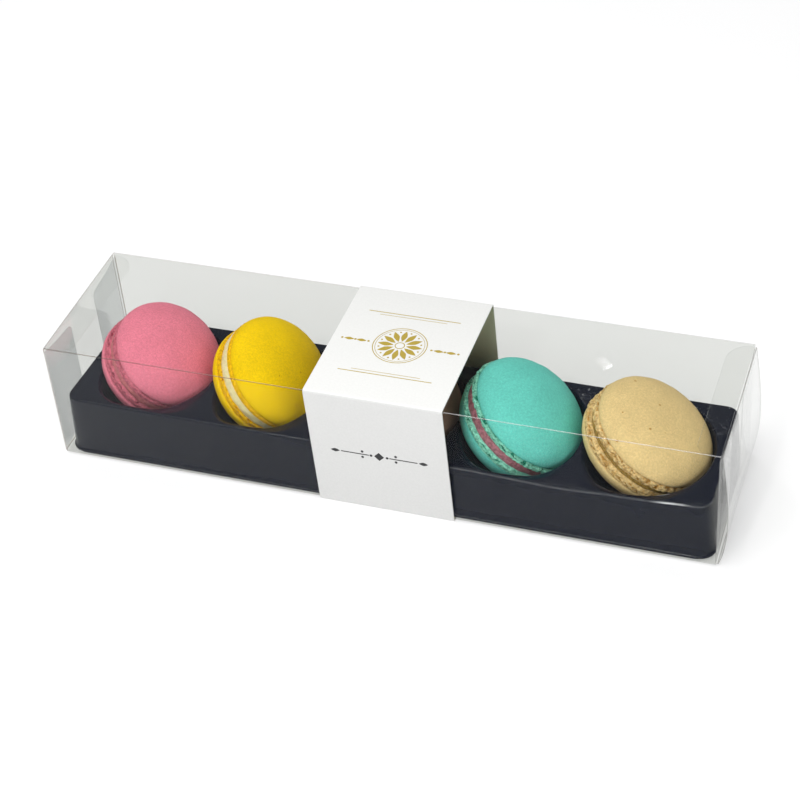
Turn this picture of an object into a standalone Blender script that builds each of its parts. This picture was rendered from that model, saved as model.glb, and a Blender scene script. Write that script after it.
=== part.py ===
"""A shut clear box of five macarons, tilted in a black formed tray, with a white card band.

X runs along the box, -Y is its front and +Z is up. The band's underside is at z = 0, and the
origin is below the middle of the whole, whose right end bows out.
"""
import math

import bmesh
import bpy
from mathutils import Matrix, Vector

# The box, one clear sheet that is folded into four walls and two tucked ends
BOX_LENGTH = 0.2150
BOX_WIDTH = 0.0530
BOX_HEIGHT = 0.0427
SHEET = 0.0003
GAP = 0.0003
MERGE = 0.00001

# Each end's panel by its side of the box: how far it bows out, most a little below its middle
END_BOWS = {-1: 0.0, 1: 0.0023}
END_ROWS = 9
BOW_POWER = 0.75
TUCK_FLAP_LENGTH = 0.0085
TUCK_FLAP_DROOP = 0.0012
TUCK_FLAP_CORNER = 0.0060
TUCK_CORNER_ROWS = 5

# A dust flap's outline: share of its depth, and of the taper at its top and bottom edges
DUST_FLAP_DEPTH = 0.0180
DUST_FLAP_TAPER = 0.0024
DUST_FLAP_OUTLINE = ((0.0, 0.0), (0.35, 0.55), (0.94, 1.0), (1.0, 1.6))

# The card band, a loop round the box that has slipped a little out of square
CARD = 0.0004
BAND_WIDTH = 0.0440
BAND_MIDDLE = 0.0031
BAND_SKEW = 0.0015
BAND_FOLD_RADIUS = 0.0006

# The tray, a thin formed sheet with a flange, drafted walls and a rounded top edge
TRAY_WALL = 0.0006
TRAY_TOP = 0.0205
TRAY_CORNER = 0.0040
CORNER_STEPS = 5
TRAY_X = 0.1061
TRAY_FRONT = -0.0257
TRAY_BACK = 0.0246
END_DRAFT = 0.0019
FRONT_DRAFT = 0.0006
BACK_DRAFT = 0.0022
FLANGE_WIDTH = 0.0007
FLANGE_HEIGHT = 0.0007
FLANGE_FILLET = 0.0005
EDGE_ROUND = 0.0008
EDGE_STEPS = 2
HOLLOW_DEPTH = 0.0030

# A pocket, the room round a tilted macaron, open upwards; its rings are shares of the dome
POCKET_SIDE_ROOM = 0.0009
POCKET_FLOOR_ROOM = 0.0009
POCKET_HALF_WIDTH = 0.0222
POCKET_Y = -0.0012
POCKET_STEPS = 28
POCKET_RINGS = (0.0, 0.4, 0.7, 0.9, 0.985)
POCKET_LIFT = 0.0400

# A macaron, two domed shells on ruffled feet with a filling between them
STEPS = 32
DOME_ROWS = 6
FOOT_OUTLINE = ((0.963, 0.80), (1.0, 0.50), (0.985, 0.18), (0.94, 0.0))
FOOT_FROM = 0.85
FOOT_RUFFLE = 0.0003
SHELL_SWELL = 0.010
FILLING_REACH = 0.955
FILLING_OUTLINE = ((0.96, 1.0), (1.0, 0.35), (1.0, -0.35), (0.96, -1.0))

# x, z, tilt and turn in degrees, radius, filling, foot height, dome height
MACARONS = {
    "pink": (-0.0810, 0.0218, 42.5, -7.0, 0.0187, 0.0021, 0.0036, 0.0100),
    "yellow": (-0.0428, 0.0224, 48.3, -4.0, 0.0188, 0.0026, 0.0026, 0.0097),
    "cocoa": (0.0018, 0.0214, 41.0, 2.0, 0.0193, 0.0024, 0.0027, 0.0098),
    "mint": (0.0405, 0.0209, 38.5, 4.5, 0.0197, 0.0030, 0.0023, 0.0108),
    "beige": (0.0800, 0.0212, 33.3, 3.3, 0.0201, 0.0017, 0.0031, 0.0094),
}
SHELL_COLOURS = {
    "pink": (0.72, 0.22, 0.28),
    "yellow": (0.82, 0.60, 0.02),
    "cocoa": (0.22, 0.13, 0.08),
    "mint": (0.16, 0.63, 0.50),
    "beige": (0.72, 0.52, 0.24),
}
FILLING_COLOURS = {
    "pink": (0.45, 0.12, 0.14),
    "yellow": (0.90, 0.76, 0.42),
    "cocoa": (0.12, 0.07, 0.05),
    "mint": (0.42, 0.16, 0.20),
    "beige": (0.38, 0.22, 0.04),
}

BOX_FLOOR = CARD + GAP
BOX_MIDDLE = -(END_BOWS[1] - END_BOWS[-1]) / 2


def clear_scene():
    for obj in list(bpy.data.objects):
        bpy.data.objects.remove(obj, do_unlink=True)


def new_collection(name):
    collection = bpy.data.collections.new(name)
    bpy.context.scene.collection.children.link(collection)
    return collection


def material(name, colour, roughness, alpha=1.0):
    made = bpy.data.materials.new(name)
    made.use_nodes = True
    shader = made.node_tree.nodes["Principled BSDF"]
    shader.inputs["Base Color"].default_value = (*colour, 1.0)
    shader.inputs["Roughness"].default_value = roughness
    shader.inputs["Alpha"].default_value = alpha
    made.diffuse_color = (*colour, alpha)
    return made


def add_object(name, mesh, collection, finish=None, parent=None):
    obj = bpy.data.objects.new(name, mesh)
    collection.objects.link(obj)
    obj.parent = parent
    if finish is not None:
        mesh.materials.append(finish)
    return obj


def mesh_from(bm, name):
    mesh = bpy.data.meshes.new(name)
    bm.to_mesh(mesh)
    bm.free()
    return mesh


def evaluated_mesh(obj, name):
    """The object's mesh with its modifiers applied; the object itself is then removed."""
    graph = bpy.context.evaluated_depsgraph_get()
    mesh = bpy.data.meshes.new_from_object(obj.evaluated_get(graph))
    source = obj.data
    bpy.data.objects.remove(obj, do_unlink=True)
    bpy.data.meshes.remove(source)
    mesh.name = name
    return mesh


def add_panel(bm, rows, outward):
    """A strip of quads between rows of points, with its faces turned to the outward side."""
    grid = [[bm.verts.new(point) for point in row] for row in rows]
    for lower, upper in zip(grid, grid[1:]):
        for k in range(len(lower) - 1):
            face = bm.faces.new((lower[k], lower[k + 1], upper[k + 1], upper[k]))
            face.normal_update()
            if face.normal.dot(Vector(outward)) < 0:
                face.normal_flip()


def add_walls(bm, inner_x, half_width, low, high):
    """The floor, the top and the two long walls, split where the flaps and ends join them."""
    wall = BOX_WIDTH / 2
    ends = (-inner_x, inner_x)
    floor_ys = (-wall, -half_width, half_width, wall)
    add_panel(bm, [[(x, y, 0) for y in floor_ys] for x in ends], (0, 0, -1))
    add_panel(bm, [[(x, y, BOX_HEIGHT) for y in (-wall, wall)] for x in ends], (0, 0, 1))
    for y in (-wall, wall):
        rows = [[(x, y, z) for z in (0, low, high, BOX_HEIGHT)] for x in ends]
        add_panel(bm, rows, (0, y, 0))


def add_dust_flap(bm, x, side, low, high):
    """A flap on a side wall's end edge, with its top and bottom edges tapered."""
    wall = side * BOX_WIDTH / 2
    rows = []
    for depth, taper in DUST_FLAP_OUTLINE:
        y = wall - side * depth * DUST_FLAP_DEPTH
        drop = taper * DUST_FLAP_TAPER
        rows.append([(x, y, low + drop), (x, y, high - drop)])
    add_panel(bm, rows, (x, 0, 0))


def add_tuck_flap(bm, outer_x, end, half_width, fold_z):
    """The flap that goes in under the top, with round free corners and a slight droop."""
    straight = TUCK_FLAP_LENGTH - TUCK_FLAP_CORNER
    rows = [[(outer_x, -half_width, fold_z), (outer_x, half_width, fold_z)]]
    for k in range(TUCK_CORNER_ROWS + 1):
        angle = 0.5 * math.pi * k / (TUCK_CORNER_ROWS + 0.5)
        run = straight + TUCK_FLAP_CORNER * math.sin(angle)
        width = half_width - TUCK_FLAP_CORNER * (1 - math.cos(angle))
        z = fold_z - TUCK_FLAP_DROOP * (run / TUCK_FLAP_LENGTH) ** 2
        rows.append([(outer_x - end * run, -width, z), (outer_x - end * run, width, z)])
    add_panel(bm, rows, (0, 0, 1))


def add_end(bm, end, inner_x, half_width):
    """The closing panel of one end, hinged at the floor, with its bow and its tuck flap."""
    fold_z = BOX_HEIGHT - SHEET - GAP
    outer_x = end * BOX_LENGTH / 2
    floor_rows = [[(x, -half_width, 0), (x, half_width, 0)] for x in (end * inner_x, outer_x)]
    add_panel(bm, floor_rows, (0, 0, -1))
    rows = []
    for k in range(END_ROWS + 1):
        up = k / END_ROWS
        x = outer_x + end * END_BOWS[end] * math.sin(math.pi * up ** BOW_POWER)
        rows.append([(x, -half_width, up * fold_z), (x, half_width, up * fold_z)])
    add_panel(bm, rows, (end, 0, 0))
    add_tuck_flap(bm, outer_x, end, half_width, fold_z)


def build_clear_box(collection, parent):
    """The folded sheet, modelled as its outer surface and given its thickness inwards."""
    inner_x = BOX_LENGTH / 2 - SHEET - GAP
    half_width = BOX_WIDTH / 2 - SHEET - GAP
    low = SHEET + 2 * GAP
    high = BOX_HEIGHT - 2 * SHEET - 3 * GAP
    bm = bmesh.new()
    add_walls(bm, inner_x, half_width, low, high)
    for end in (-1, 1):
        add_end(bm, end, inner_x, half_width)
        for side in (-1, 1):
            add_dust_flap(bm, end * inner_x, side, low, high)
    bmesh.ops.remove_doubles(bm, verts=bm.verts, dist=MERGE)
    finish = material("clear_film", (0.80, 0.83, 0.82), 0.08, 0.3)
    box = add_object("clear_box", mesh_from(bm, "clear_box"), collection, finish, parent)
    solidify = box.modifiers.new("sheet", "SOLIDIFY")
    solidify.solidify_mode = "NON_MANIFOLD"
    solidify.nonmanifold_thickness_mode = "CONSTRAINTS"
    solidify.thickness = SHEET
    solidify.offset = -1.0


def build_card_band(collection, parent):
    """A rectangular loop of card that leans a little along the box, left at its top."""
    y = BOX_WIDTH / 2 + GAP
    low = -GAP
    high = BOX_HEIGHT + GAP
    ring = [(-y, low), (-y, high), (y, high), (y, low), (-y, low)]
    bm = bmesh.new()
    for (y0, z0), (y1, z1) in zip(ring, ring[1:]):
        rows = []
        for end in (-1, 1):
            row = []
            for yy, zz in ((y0, z0), (y1, z1)):
                lean = BAND_SKEW * (0.5 - (zz - low) / (high - low))
                row.append((BAND_MIDDLE + lean + end * BAND_WIDTH / 2, yy, zz))
            rows.append(row)
        add_panel(bm, rows, (0, y0 + y1, z0 + z1 - (high + low)))
    bmesh.ops.remove_doubles(bm, verts=bm.verts, dist=MERGE)
    finish = material("white_card", (0.90, 0.90, 0.88), 0.55)
    band = add_object("card_band", mesh_from(bm, "card_band"), collection, finish, parent)
    bevel = band.modifiers.new("folds", "BEVEL")
    bevel.width = BAND_FOLD_RADIUS
    bevel.segments = 2
    bevel.limit_method = "ANGLE"
    solidify = band.modifiers.new("card", "SOLIDIFY")
    solidify.thickness = CARD
    solidify.offset = 1.0
    solidify.use_even_offset = True


def tray_loop(draft, pull, z):
    """A level loop of the tray with round corners, anticlockwise from above.

    The walls lean in by a share of their draft, and the whole loop is pulled in evenly.
    """
    x_half = TRAY_X - draft * END_DRAFT - pull
    front = TRAY_FRONT + draft * FRONT_DRAFT + pull
    back = TRAY_BACK - draft * BACK_DRAFT - pull
    corner = TRAY_CORNER - pull
    points = []
    centres = ((x_half, back, 0), (-x_half, back, 90), (-x_half, front, 180), (x_half, front, 270))
    for x, y, start in centres:
        cx = x - math.copysign(corner, x)
        cy = y - math.copysign(corner, y)
        for k in range(CORNER_STEPS + 1):
            angle = math.radians(start + 90 * k / CORNER_STEPS)
            points.append((cx + corner * math.cos(angle), cy + corner * math.sin(angle), z))
    return points


def loft(levels, name):
    """A closed solid through level loops of equal point counts, given from the lowest up."""
    bm = bmesh.new()
    rings = [[bm.verts.new(point) for point in loop] for loop in levels]
    count = len(rings[0])
    for lower, upper in zip(rings, rings[1:]):
        for k in range(count):
            bm.faces.new((lower[k], lower[(k + 1) % count], upper[(k + 1) % count], upper[k]))
    bm.faces.new(list(reversed(rings[0])))
    bm.faces.new(rings[-1])
    bmesh.ops.recalc_face_normals(bm, faces=bm.faces)
    return mesh_from(bm, name)


def tray_body(name, inset, foot_z, top_z):
    """The tray's outside without pockets, or its hollow when it is inset by the wall."""
    flange_z = SHEET + GAP + FLANGE_HEIGHT
    levels = [
        tray_loop(0.0, inset, foot_z),
        tray_loop(0.0, inset, flange_z),
        tray_loop(0.0, inset + FLANGE_WIDTH, flange_z + FLANGE_FILLET),
    ]
    for k in range(EDGE_STEPS + 1):
        angle = 0.5 * math.pi * k / EDGE_STEPS
        pull = inset + FLANGE_WIDTH + EDGE_ROUND * (1 - math.cos(angle))
        levels.append(tray_loop(1.0, pull, top_z - EDGE_ROUND * (1 - math.sin(angle))))
    return loft(levels, name)


def macaron_turn(tilt, turn):
    return Matrix.Rotation(math.radians(turn), 4, "Z") @ Matrix.Rotation(math.radians(tilt), 4, "Y")


def macaron_rings(spec, wall):
    """Rings of points round an enlarged macaron, from one dome over its rim to the other."""
    radius, filling, foot, dome = spec[4:]
    reach = radius + POCKET_SIDE_ROOM + wall
    half = filling / 2 + GAP + foot
    height = dome + POCKET_FLOOR_ROOM + wall
    points = []
    for side in (-1, 1):
        for rise in POCKET_RINGS:
            ring = reach * math.sqrt(1 - rise ** 2)
            for k in range(POCKET_STEPS):
                angle = 2 * math.pi * k / POCKET_STEPS
                z = side * (half + rise * height)
                points.append(Vector((ring * math.cos(angle), ring * math.sin(angle), z)))
    return points


def pocket_mesh(spec, wall, name):
    """The room that a macaron sweeps as it is lifted out, with the pocket's play round it."""
    x, z, tilt, turn, radius = spec[:5]
    stretch = (POCKET_HALF_WIDTH + wall) / (radius + POCKET_SIDE_ROOM + wall)
    place = Matrix.Translation((x, 0, z)) @ macaron_turn(tilt, turn)
    bm = bmesh.new()
    for local in macaron_rings(spec, wall):
        point = place @ local
        point.y = POCKET_Y + point.y * stretch
        bm.verts.new(point)
        bm.verts.new(point + Vector((0, 0, POCKET_LIFT)))
    hull = bmesh.ops.convex_hull(bm, input=bm.verts)
    inside = set(hull["geom_interior"]) | set(hull["geom_unused"])
    loose = [vert for vert in inside if isinstance(vert, bmesh.types.BMVert)]
    bmesh.ops.delete(bm, geom=loose, context="VERTS")
    bmesh.ops.recalc_face_normals(bm, faces=bm.faces)
    return mesh_from(bm, name)


def add_cutter(mesh, cutters, parent):
    cutter = add_object(mesh.name, mesh, cutters, None, parent)
    cutter.hide_render = True
    cutter.display_type = "WIRE"
    return cutter


def cut(obj, cutter):
    boolean = obj.modifiers.new(cutter.name, "BOOLEAN")
    boolean.operation = "DIFFERENCE"
    boolean.solver = "EXACT"
    boolean.object = cutter


def build_tray(collection, cutters, parent):
    """The outer form less its pockets, then less a hollow that runs one wall inside both."""
    hollow_mesh = tray_body("tray_hollow", TRAY_WALL, -HOLLOW_DEPTH, TRAY_TOP - TRAY_WALL)
    hollow = add_cutter(hollow_mesh, cutters, parent)
    finish = material("black_tray", (0.028, 0.031, 0.040), 0.30)
    tray_mesh = tray_body("tray", 0.0, SHEET + GAP, TRAY_TOP)
    tray = add_object("tray", tray_mesh, collection, finish, parent)
    for name, spec in MACARONS.items():
        cut(hollow, add_cutter(pocket_mesh(spec, TRAY_WALL, name + "_pocket_wall"), cutters, parent))
        cut(tray, add_cutter(pocket_mesh(spec, 0.0, name + "_pocket"), cutters, parent))
    cut(tray, hollow)


def turned_mesh(profile, name):
    """A closed body of revolution about Z from a profile that runs down its outer side."""
    bm = bmesh.new()
    verts = [bm.verts.new((radius, 0, z)) for radius, z in profile]
    for upper, lower in zip(verts, verts[1:]):
        bm.edges.new((upper, lower))
    obj = add_object(name, mesh_from(bm, name), bpy.context.scene.collection)
    screw = obj.modifiers.new("turn", "SCREW")
    screw.steps = STEPS
    screw.render_steps = STEPS
    screw.use_merge_vertices = True
    screw.merge_threshold = MERGE
    return evaluated_mesh(obj, name)


def waver(angle, seed):
    """A smooth uneven curve round a rim, between about -1 and 1."""
    slow = 0.5 * math.sin(3 * angle + 1.7 * seed)
    middle = 0.3 * math.sin(7 * angle + 2.9 * seed)
    quick = 0.3 * math.sin(12 * angle + 4.1 * seed)
    return slow + middle + quick


def ruffle(mesh, seed, radius, foot_low, foot_high):
    """Makes the foot uneven and the whole piece a little out of round."""
    for vert in mesh.vertices:
        reach = math.hypot(vert.co.x, vert.co.y)
        if reach < MERGE:
            continue
        angle = math.atan2(vert.co.y, vert.co.x)
        grow = SHELL_SWELL * math.sin(2 * angle + seed) * (reach / radius)
        on_foot = foot_low - MERGE < vert.co.z < foot_high + MERGE
        if on_foot and reach > FOOT_FROM * radius:
            grow += FOOT_RUFFLE / radius * waver(angle, seed)
        vert.co.x *= 1 + grow
        vert.co.y *= 1 + grow


def shell_mesh(spec, seed, name):
    """A dome on its foot, its flat side down and one gap above the filling."""
    radius, filling, foot, dome = spec[4:]
    base = filling / 2 + GAP
    top = base + foot
    profile = [(0.0, top + dome)]
    for k in range(1, DOME_ROWS + 1):
        angle = 0.5 * math.pi * (1 - k / DOME_ROWS)
        profile.append((radius * math.cos(angle), top + dome * math.sin(angle)))
    profile += [(share * radius, base + up * foot) for share, up in FOOT_OUTLINE]
    profile.append((0.0, base))
    mesh = turned_mesh(profile, name)
    ruffle(mesh, seed, radius, base, top)
    return mesh


def filling_mesh(spec, seed, name):
    radius, filling = spec[4:6]
    rim = FILLING_REACH * radius
    half = filling / 2
    profile = [(0.0, half)]
    profile += [(share * rim, up * half) for share, up in FILLING_OUTLINE]
    profile.append((0.0, -half))
    mesh = turned_mesh(profile, name)
    ruffle(mesh, seed, radius, -half, half)
    return mesh


def build_macaron(name, spec, seed, collection, parent):
    x, z, tilt, turn = spec[:4]
    place = Matrix.Translation((x, 0, z)) @ macaron_turn(tilt, turn)
    flip = Matrix.Rotation(math.pi, 4, "X")
    shell = material(name + "_shell", SHELL_COLOURS[name], 0.55)
    cream = material(name + "_filling", FILLING_COLOURS[name], 0.50)
    pieces = (
        (shell_mesh(spec, seed, name + "_upper_shell"), shell, place),
        (filling_mesh(spec, seed + 1, name + "_filling"), cream, place),
        (shell_mesh(spec, seed + 2, name + "_lower_shell"), shell, place @ flip),
    )
    for mesh, finish, matrix in pieces:
        mesh.shade_smooth()
        mesh.set_sharp_from_angle(angle=math.radians(50))
        piece = add_object(mesh.name, mesh, collection, finish, parent)
        piece.matrix_local = matrix


def main():
    clear_scene()
    model = new_collection("macaron_box")
    cutters = new_collection("cutters")
    stand = bpy.data.objects.new("stand", None)
    model.objects.link(stand)
    stand.location = (BOX_MIDDLE, 0, BOX_FLOOR)
    build_clear_box(model, stand)
    build_card_band(model, stand)
    build_tray(model, cutters, stand)
    for index, (name, spec) in enumerate(MACARONS.items()):
        build_macaron(name, spec, 3 * index, model, stand)


main()
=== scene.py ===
# %% [markdown]
# # A shut clear box of five macarons
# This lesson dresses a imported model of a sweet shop's row box. The real thing is one clear folded
# sheet with a tucked end at each side, a black formed tray, five macarons that lean in its pockets
# and a white card band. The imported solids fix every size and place, and each step below replaces
# a plain solid by the piece as one sees it, or gives it a better finish.

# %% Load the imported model
import math

import bmesh
import bpy
from mathutils import Matrix, Vector, noise
from mathutils.bvhtree import BVHTree


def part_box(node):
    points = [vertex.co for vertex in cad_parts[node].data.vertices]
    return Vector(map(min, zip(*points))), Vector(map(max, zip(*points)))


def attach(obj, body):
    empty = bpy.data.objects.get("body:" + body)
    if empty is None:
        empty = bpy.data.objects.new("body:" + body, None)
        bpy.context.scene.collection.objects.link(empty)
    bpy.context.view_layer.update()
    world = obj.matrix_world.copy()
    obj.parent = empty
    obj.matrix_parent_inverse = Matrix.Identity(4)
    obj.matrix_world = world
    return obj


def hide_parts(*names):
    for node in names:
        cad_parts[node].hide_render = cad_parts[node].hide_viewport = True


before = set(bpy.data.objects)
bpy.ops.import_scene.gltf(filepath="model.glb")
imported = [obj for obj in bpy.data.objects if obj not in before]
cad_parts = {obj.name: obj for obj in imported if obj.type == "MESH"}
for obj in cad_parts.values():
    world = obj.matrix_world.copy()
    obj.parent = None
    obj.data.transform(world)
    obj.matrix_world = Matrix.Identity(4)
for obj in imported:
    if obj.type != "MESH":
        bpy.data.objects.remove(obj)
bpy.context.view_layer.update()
scene = bpy.context.scene
print("nodes:", ", ".join(sorted(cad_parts)))

# %% [markdown]
# ## Where things are
# Everything hangs on the box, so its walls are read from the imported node. Only the length is a
# driving size here, because the right end panel bows out past it. All values are in metres.

# %% The box's walls
BOX_LENGTH = 0.2150
box_low, box_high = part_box("clear_box")
MIDDLE_X = box_low.x + BOX_LENGTH / 2
END_X = BOX_LENGTH / 2
BOW = box_high.x - box_low.x - BOX_LENGTH
FLOOR_Z = box_low.z
BOX_HEIGHT = box_high.z - box_low.z
WALL_Y = box_high.y
SHEET = 0.00025
print("box in mm:", [round(1000 * v, 1) for v in (BOX_LENGTH, 2 * WALL_Y, BOX_HEIGHT)])
print("bow in mm:", round(1000 * BOW, 1))

# %% [markdown]
# ## Camera
# The photograph looks down on the box from its front right with a long lens and a small roll.
# A camera is easiest to aim in steps: turn it to the azimuth, tip it by the elevation, roll it
# about its own axis and then back it off from the point that it looks at.

# %% Camera
LOOK_AT = Vector((-0.00042, 0.00018, 0.02192))
CAMERA_DISTANCE = 0.62159
CAMERA_AZIMUTH = math.radians(21.616)
CAMERA_ELEVATION = math.radians(39.599)
CAMERA_ROLL = math.radians(-5.125)
CAMERA_LENS = 88.99

bpy.ops.object.camera_add()
camera = bpy.context.object
camera.data.lens = CAMERA_LENS
camera.data.clip_start = 0.01
turn = Matrix.Rotation(CAMERA_AZIMUTH, 4, "Z")
tip = Matrix.Rotation(math.pi / 2 - CAMERA_ELEVATION, 4, "X")
roll = Matrix.Rotation(CAMERA_ROLL, 4, "Z")
back_off = Matrix.Translation((0, 0, CAMERA_DISTANCE))
camera.matrix_world = Matrix.Translation(LOOK_AT) @ turn @ tip @ back_off @ roll
scene.camera = camera
print("camera at", [round(v, 3) for v in camera.matrix_world.translation])

# %% [markdown]
# ## Lights
# The photograph is a product shot on white. One broad soft lamp from the front left makes the shapes
# and two weaker ones keep the shadows open. The small lamps are there for what they mirror in: the
# tray's front edge, its crumpled back corners and the film. Each is put where a mirrored line of
# sight from the camera would meet it.

# %% Lights
LIGHTS = (
    ("key_light", (-0.15, -0.50, 1.10), (0.80, 0.80), 9.5),
    ("top_light", (-0.10, 0.35, 1.10), (1.20, 0.90), 2.5),
    ("fill_light", (0.75, -0.80, 0.50), (0.50, 0.50), 3.6),
    ("front_glint", (-0.052, -0.776, 0.811), (0.05, 0.05), 1.5),
    ("back_glint", (-0.33, 0.47, 0.95), (0.10, 0.10), 1.3),
    ("streak_glint", (-0.123, 0.762, 0.671), (0.008, 0.0014), 0.0025),
)

for name, place, size, power in LIGHTS:
    bpy.ops.object.light_add(type="AREA", location=place)
    lamp = bpy.context.object
    lamp.name = name
    lamp.data.shape = "RECTANGLE"
    lamp.data.size, lamp.data.size_y = size
    lamp.data.energy = power
    lamp.rotation_euler = (LOOK_AT - lamp.location).to_track_quat("-Z", "Y").to_euler()

print(len(LIGHTS), "lights")

# %% [markdown]
# ## Surroundings and floor
# Pale surroundings give the film something to mirror. They are darker than the floor, or the clear
# film would not show against it. The floor glows a little, which makes it as white as the
# photograph's and still lets it take a soft shadow. Many clear layers lie behind each other at the
# ends of the box, so light rays get room to pass them all.

# %% Surroundings and floor
FLOOR_SIZE = 4.0
CLEAR_LAYERS = 48

world = bpy.data.worlds.new("studio")
scene.world = world
world.use_nodes = True
world.node_tree.nodes["Background"].inputs["Color"].default_value = (0.98, 0.99, 1.0, 1.0)
world.node_tree.nodes["Background"].inputs["Strength"].default_value = 0.30

bpy.ops.mesh.primitive_plane_add(size=FLOOR_SIZE)
floor = bpy.context.object
floor.name = "studio_floor"
floor_finish = bpy.data.materials.new("white_floor")
floor_finish.use_nodes = True
floor_shader = floor_finish.node_tree.nodes["Principled BSDF"]
floor_shader.inputs["Base Color"].default_value = (0.55, 0.55, 0.55, 1.0)
floor_shader.inputs["Roughness"].default_value = 0.9
floor_shader.inputs["Specular IOR Level"].default_value = 0.2
floor_shader.inputs["Emission Color"].default_value = (1.0, 1.0, 1.0, 1.0)
floor_shader.inputs["Emission Strength"].default_value = 0.42
floor.data.materials.append(floor_finish)

scene.view_settings.view_transform = "Standard"
scene.cycles.transparent_max_bounces = CLEAR_LAYERS
print("floor", FLOOR_SIZE, "m wide, light passes", CLEAR_LAYERS, "clear layers")

# %% [markdown]
# ## Helpers for picking
# An operator acts on whatever is selected, so each piece is first selected alone. In edit mode the
# parts to work on are picked in code by where they are. With a mouse one would click them, but a
# test on the place of each point does the same and never misses.

# %% Picking helpers
def only(obj):
    bpy.ops.object.select_all(action="DESELECT")
    obj.select_set(True)
    bpy.context.view_layer.objects.active = obj


def start_piece(name):
    obj = bpy.context.object
    obj.name = name
    obj.data.name = name
    return obj


def pick_edges(test):
    """Selects the edges of the piece in edit mode for which test says yes to both ends."""
    cage = bmesh.from_edit_mesh(bpy.context.object.data)
    for edge in cage.edges:
        edge.select_set(False)
    for edge in cage.edges:
        if all(test(vert.co) for vert in edge.verts):
            edge.select_set(True)
    bmesh.update_edit_mesh(bpy.context.object.data)


def open_ends():
    """Deletes the two end faces of the cube in edit mode, which leaves a loop of four walls."""
    bpy.ops.mesh.select_mode(type="FACE")
    bpy.ops.mesh.select_all(action="DESELECT")
    cage = bmesh.from_edit_mesh(bpy.context.object.data)
    for face in cage.faces:
        face.select_set(abs(face.normal.x) > 0.5)
    bmesh.update_edit_mesh(bpy.context.object.data)
    bpy.ops.mesh.delete(type="FACE")
    bpy.ops.mesh.select_mode(type="EDGE")


print("picking helpers are ready")

# %% [markdown]
# ## Helpers for placing
# A piece is made where it is easy to make, and then moved. Its place has to end up in its mesh,
# because the export sets every object back to the middle. A mask is a number on each point, which a
# material can read. A finished piece rides on the box's only body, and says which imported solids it
# stands for.

# %% Placing helpers
def settle(obj, matrix):
    """Moves the piece to its place, then puts that place in its mesh."""
    obj.matrix_world = matrix
    only(obj)
    bpy.ops.object.transform_apply(location=True, rotation=True, scale=True)


def new_masks(obj, *names):
    """Adds one number for each vertex under each name, and gives them back once all are there."""
    for name in names:
        obj.data.attributes.new(name, "FLOAT", "POINT")
    return [obj.data.attributes[name] for name in names]


def hand_in(obj, slot, *nodes):
    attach(obj, "root")
    if nodes:
        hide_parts(*nodes)
    faces = len(obj.data.polygons)
    print(f"{obj.name}: {faces} faces, stands for {', '.join(nodes) or 'nothing'}")


print("placing helpers are ready")

# %% [markdown]
# ## The macarons' sizes
# Each macaron leans against the back of its pocket. Its middle, its tilt about Y, its turn about Z
# and its own sizes come from the photograph, and match the imported solids. The other numbers describe
# its crust. Crumb is how far the crumbs stand out and grain how fine they are. Tears is how fine the
# tears are along and across the rim, and whole is how much of the foot has none. Groove is the depth
# of the line under the dome, rim and spread are the widths of dome and foot, upper is how torn the
# upper foot is, and reach is how far the filling comes out.
# Each one also has its own colours: the dome, the crumbly foot under it, a dark colour painted as
# shade into the foot's pits, groove and low crumbs, which also colours the specks, and the filling,
# with the strength of the painted shade on the low crumbs, its filling's mottle and its specks.

# %% Macaron sizes and colours
MACARONS = {
    "pink": {"x": -0.0810, "z": 0.0218, "tilt": 42.5, "turn": -7.0,
             "radius": 0.0187, "filling": 0.0021, "foot": 0.0036, "dome": 0.0100,
             "crumb": 0.00016, "tears": (0.35, 2.2), "whole": 0.12, "reach": 0.970,
             "grain": 0.60, "groove": 1.00, "rim": 1.000, "spread": 1.00, "upper": 0.50},
    "yellow": {"x": -0.0428, "z": 0.0224, "tilt": 48.3, "turn": -4.0,
               "radius": 0.0188, "filling": 0.0026, "foot": 0.0026, "dome": 0.0097,
               "crumb": 0.00014, "tears": (1.3, 1.5), "whole": 0.26, "reach": 0.985,
               "grain": 1.00, "groove": 0.35, "rim": 1.000, "spread": 1.00, "upper": 0.12},
    "cocoa": {"x": 0.0018, "z": 0.0214, "tilt": 41.0, "turn": 2.0,
              "radius": 0.0193, "filling": 0.0024, "foot": 0.0027, "dome": 0.0098,
              "crumb": 0.00025, "tears": (0.6, 1.7), "whole": 0.16, "reach": 0.970,
              "grain": 0.90, "groove": 0.80, "rim": 0.995, "spread": 1.01, "upper": 1.00},
    "mint": {"x": 0.0405, "z": 0.0209, "tilt": 38.5, "turn": 4.5,
             "radius": 0.0197, "filling": 0.0030, "foot": 0.0023, "dome": 0.0108,
             "crumb": 0.00038, "tears": (0.45, 2.0), "whole": 0.15, "reach": 0.985,
             "grain": 2.30, "groove": 1.00, "rim": 0.995, "spread": 1.03, "upper": 1.00},
    "beige": {"x": 0.0800, "z": 0.0212, "tilt": 33.3, "turn": 3.3,
              "radius": 0.0201, "filling": 0.0017, "foot": 0.0031, "dome": 0.0094,
              "crumb": 0.00042, "tears": (0.7, 1.7), "whole": 0.10, "reach": 0.965,
              "grain": 0.55, "groove": 0.80, "rim": 0.995, "spread": 1.02, "upper": 1.00},
}
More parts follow.
